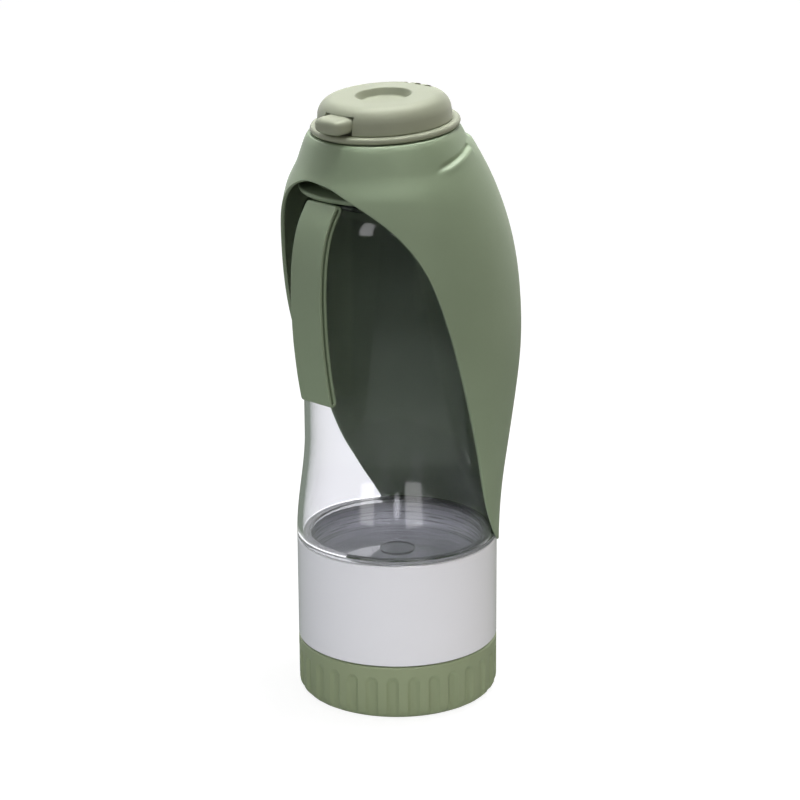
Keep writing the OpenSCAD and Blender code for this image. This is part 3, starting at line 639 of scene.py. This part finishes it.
def make_floor():
    """A plain white sweep that the camera sees as white, with the object's own soft shadow.

    In a mirror it is dim, and only its middle shows: further out mirrored rays go on to the
    room's soft boxes. Distances are in metres from the middle."""
    radius, dim_from, dark_from, open_from = 3.0, 0.38, 0.46, 0.67
    white_share, white_level = 0.62, 1.42
    bm = bmesh.new()
    bmesh.ops.create_circle(bm, cap_ends=True, segments=96, radius=radius)
    mesh = bpy.data.meshes.new("floor")
    bm.to_mesh(mesh)
    bm.free()
    floor = bpy.data.objects.new("floor", mesh)
    bpy.context.collection.objects.link(floor)
    material = bpy.data.materials.new("white_sweep")
    material.use_nodes = True
    tree = material.node_tree
    tree.nodes.clear()
    path = add(tree, "LightPath").outputs
    seen, mirrored = ray_kinds(tree, path)
    share = add(tree, "Math", {1: white_share}, {0: seen.outputs[0]}, operation="MULTIPLY")
    paper = add(tree, "BsdfDiffuse", {"Color": linear("#D8D8D8")})
    away = add(tree, "VectorMath", links={0: add(tree, "TexCoord").outputs["Object"]},
               operation="LENGTH")
    lit = add(tree, "MapRange", {"From Min": dim_from, "From Max": dark_from, "To Min": 0.3,
                                 "To Max": 0.03}, {"Value": away.outputs["Value"]})
    gloom = add(tree, "Emission", {"Color": linear("#E2F0DF")},
                {"Strength": lit.outputs["Result"]})
    glow = add(tree, "Emission", {"Color": linear("#FFFFFF"), "Strength": white_level})
    far = add(tree, "Math", {1: open_from}, {0: away.outputs["Value"]}, operation="GREATER_THAN")
    open_air = add(tree, "BsdfTransparent")
    near = add(tree, "MixShader", links={0: far.outputs[0], 1: gloom.outputs[0],
                                         2: open_air.outputs[0]})
    dim = add(tree, "MixShader", links={0: mirrored.outputs[0], 1: paper.outputs[0],
                                        2: near.outputs[0]})
    mix = add(tree, "MixShader", links={0: share.outputs[0], 1: dim.outputs[0],
                                        2: glow.outputs[0]})
    add(tree, "OutputMaterial", links={"Surface": mix.outputs[0]})
    mesh.materials.append(material)


def make_world():
    """A white room: seen as white, with an even fill, and soft boxes in its reflections."""
    world = bpy.data.worlds.new("studio")
    world.use_nodes = True
    bpy.context.scene.world = world
    tree = world.node_tree
    tree.nodes.clear()
    seen, mirrored = ray_kinds(tree, add(tree, "LightPath").outputs)
    # Which way a ray goes, as an angle to the right of the camera's side
    way = add(tree, "TexCoord").outputs["Generated"]
    ahead = add(tree, "VectorMath", {1: (0.7071, -0.7071, 0)}, {0: way}, operation="DOT_PRODUCT")
    right = add(tree, "VectorMath", {1: (0.7071, 0.7071, 0)}, {0: way}, operation="DOT_PRODUCT")
    turn = add(tree, "Math", links={0: right.outputs["Value"], 1: ahead.outputs["Value"]},
               operation="ARCTAN2")
    place = add(tree, "MapRange", {"From Min": -math.pi, "From Max": math.pi},
                {"Value": turn.outputs[0]})
    # What mirrors show by that angle: pale walls behind the bottle, two tall soft boxes on the
    # camera's side, and dark between
    room = add(tree, "ValToRGB", links={"Fac": place.outputs["Result"]})
    ramp = room.color_ramp
    stops = [(-180, 0.85), (-115, 0.6), (-80, 0.01), (-45, 0.006), (-43, 0.9), (-28, 0.9),
             (-26, 0.006), (9, 0.006), (11, 0.9), (29, 0.9), (31, 0.006), (85, 0.01),
             (118, 0.6), (180, 0.85)]
    while len(ramp.elements) < len(stops):
        ramp.elements.new(0.5)
    for element, (angle, level) in zip(ramp.elements, stops):
        element.position = angle / 360 + 0.5
        element.color = (level, level, level, 1)
    # A bright soft box overhead, and nothing far below the horizon
    height = add(tree, "SeparateXYZ", links={0: way})
    level = add(tree, "MapRange", {"From Min": 0.81, "From Max": 0.84, "To Min": 2.0,
                                   "To Max": 28.0}, {"Value": height.outputs["Z"]})
    above = add(tree, "MapRange", {"From Min": -0.21, "From Max": -0.18},
                {"Value": height.outputs["Z"]})
    strength = add(tree, "Math", links={0: level.outputs["Result"], 1: above.outputs["Result"]},
                   operation="MULTIPLY")
    mirror = add(tree, "Background", links={"Color": room.outputs["Color"],
                                            "Strength": strength.outputs[0]})
    side = add(tree, "MapRange", {"From Min": -1.0, "From Max": 1.0},
               {"Value": right.outputs["Value"]})
    tint = add(tree, "ValToRGB", links={"Fac": side.outputs["Result"]})
    tint.color_ramp.elements[0].color = linear("#EEF5FF")
    tint.color_ramp.elements[1].color = linear("#FFF2E0")
    fill = add(tree, "Background", {"Strength": 0.43}, {"Color": tint.outputs["Color"]})
    white = add(tree, "Background", {"Color": linear("#FFFFFF"), "Strength": 1.0})
    lit = add(tree, "MixShader", links={0: mirrored.outputs[0], 1: fill.outputs[0],
                                        2: mirror.outputs[0]})
    mix = add(tree, "MixShader", links={0: seen.outputs[0], 1: lit.outputs[0],
                                        2: white.outputs[0]})
    add(tree, "OutputWorld", links={"Surface": mix.outputs[0]})


def make_lamp(name, place, size, power, colour, aim=0.12, spread=180):
    """A soft box at a place in metres that faces a height on the bottle."""
    data = bpy.data.lights.new(name, "AREA")
    data.shape = "RECTANGLE"
    data.size, data.size_y = size
    data.energy = power
    data.color = linear(colour)[:3]
    data.spread = math.radians(spread)
    lamp = bpy.data.objects.new(name, data)
    bpy.context.collection.objects.link(lamp)
    lamp.location = place
    lamp.visible_glossy = False
    lamp.rotation_euler = (Vector(place) - Vector((0, 0, aim))).to_track_quat("Z", "Y").to_euler()


make_camera()
make_floor()
make_world()
make_lamp("key", (0.06, 0.14, 1.35), (0.25, 0.25), 7.8, "#F2F7FF")
make_lamp("low", (0.55, -0.55, 0.06), (0.2, 0.2), 0.045, "#FAFAFF", aim=0.015, spread=18)
make_base_cap()
make_food_cup()
make_bottle()
make_leaf()
make_strap()
make_cap()
make_lid()
make_latch()
bpy.context.scene.view_settings.view_transform = "Standard"
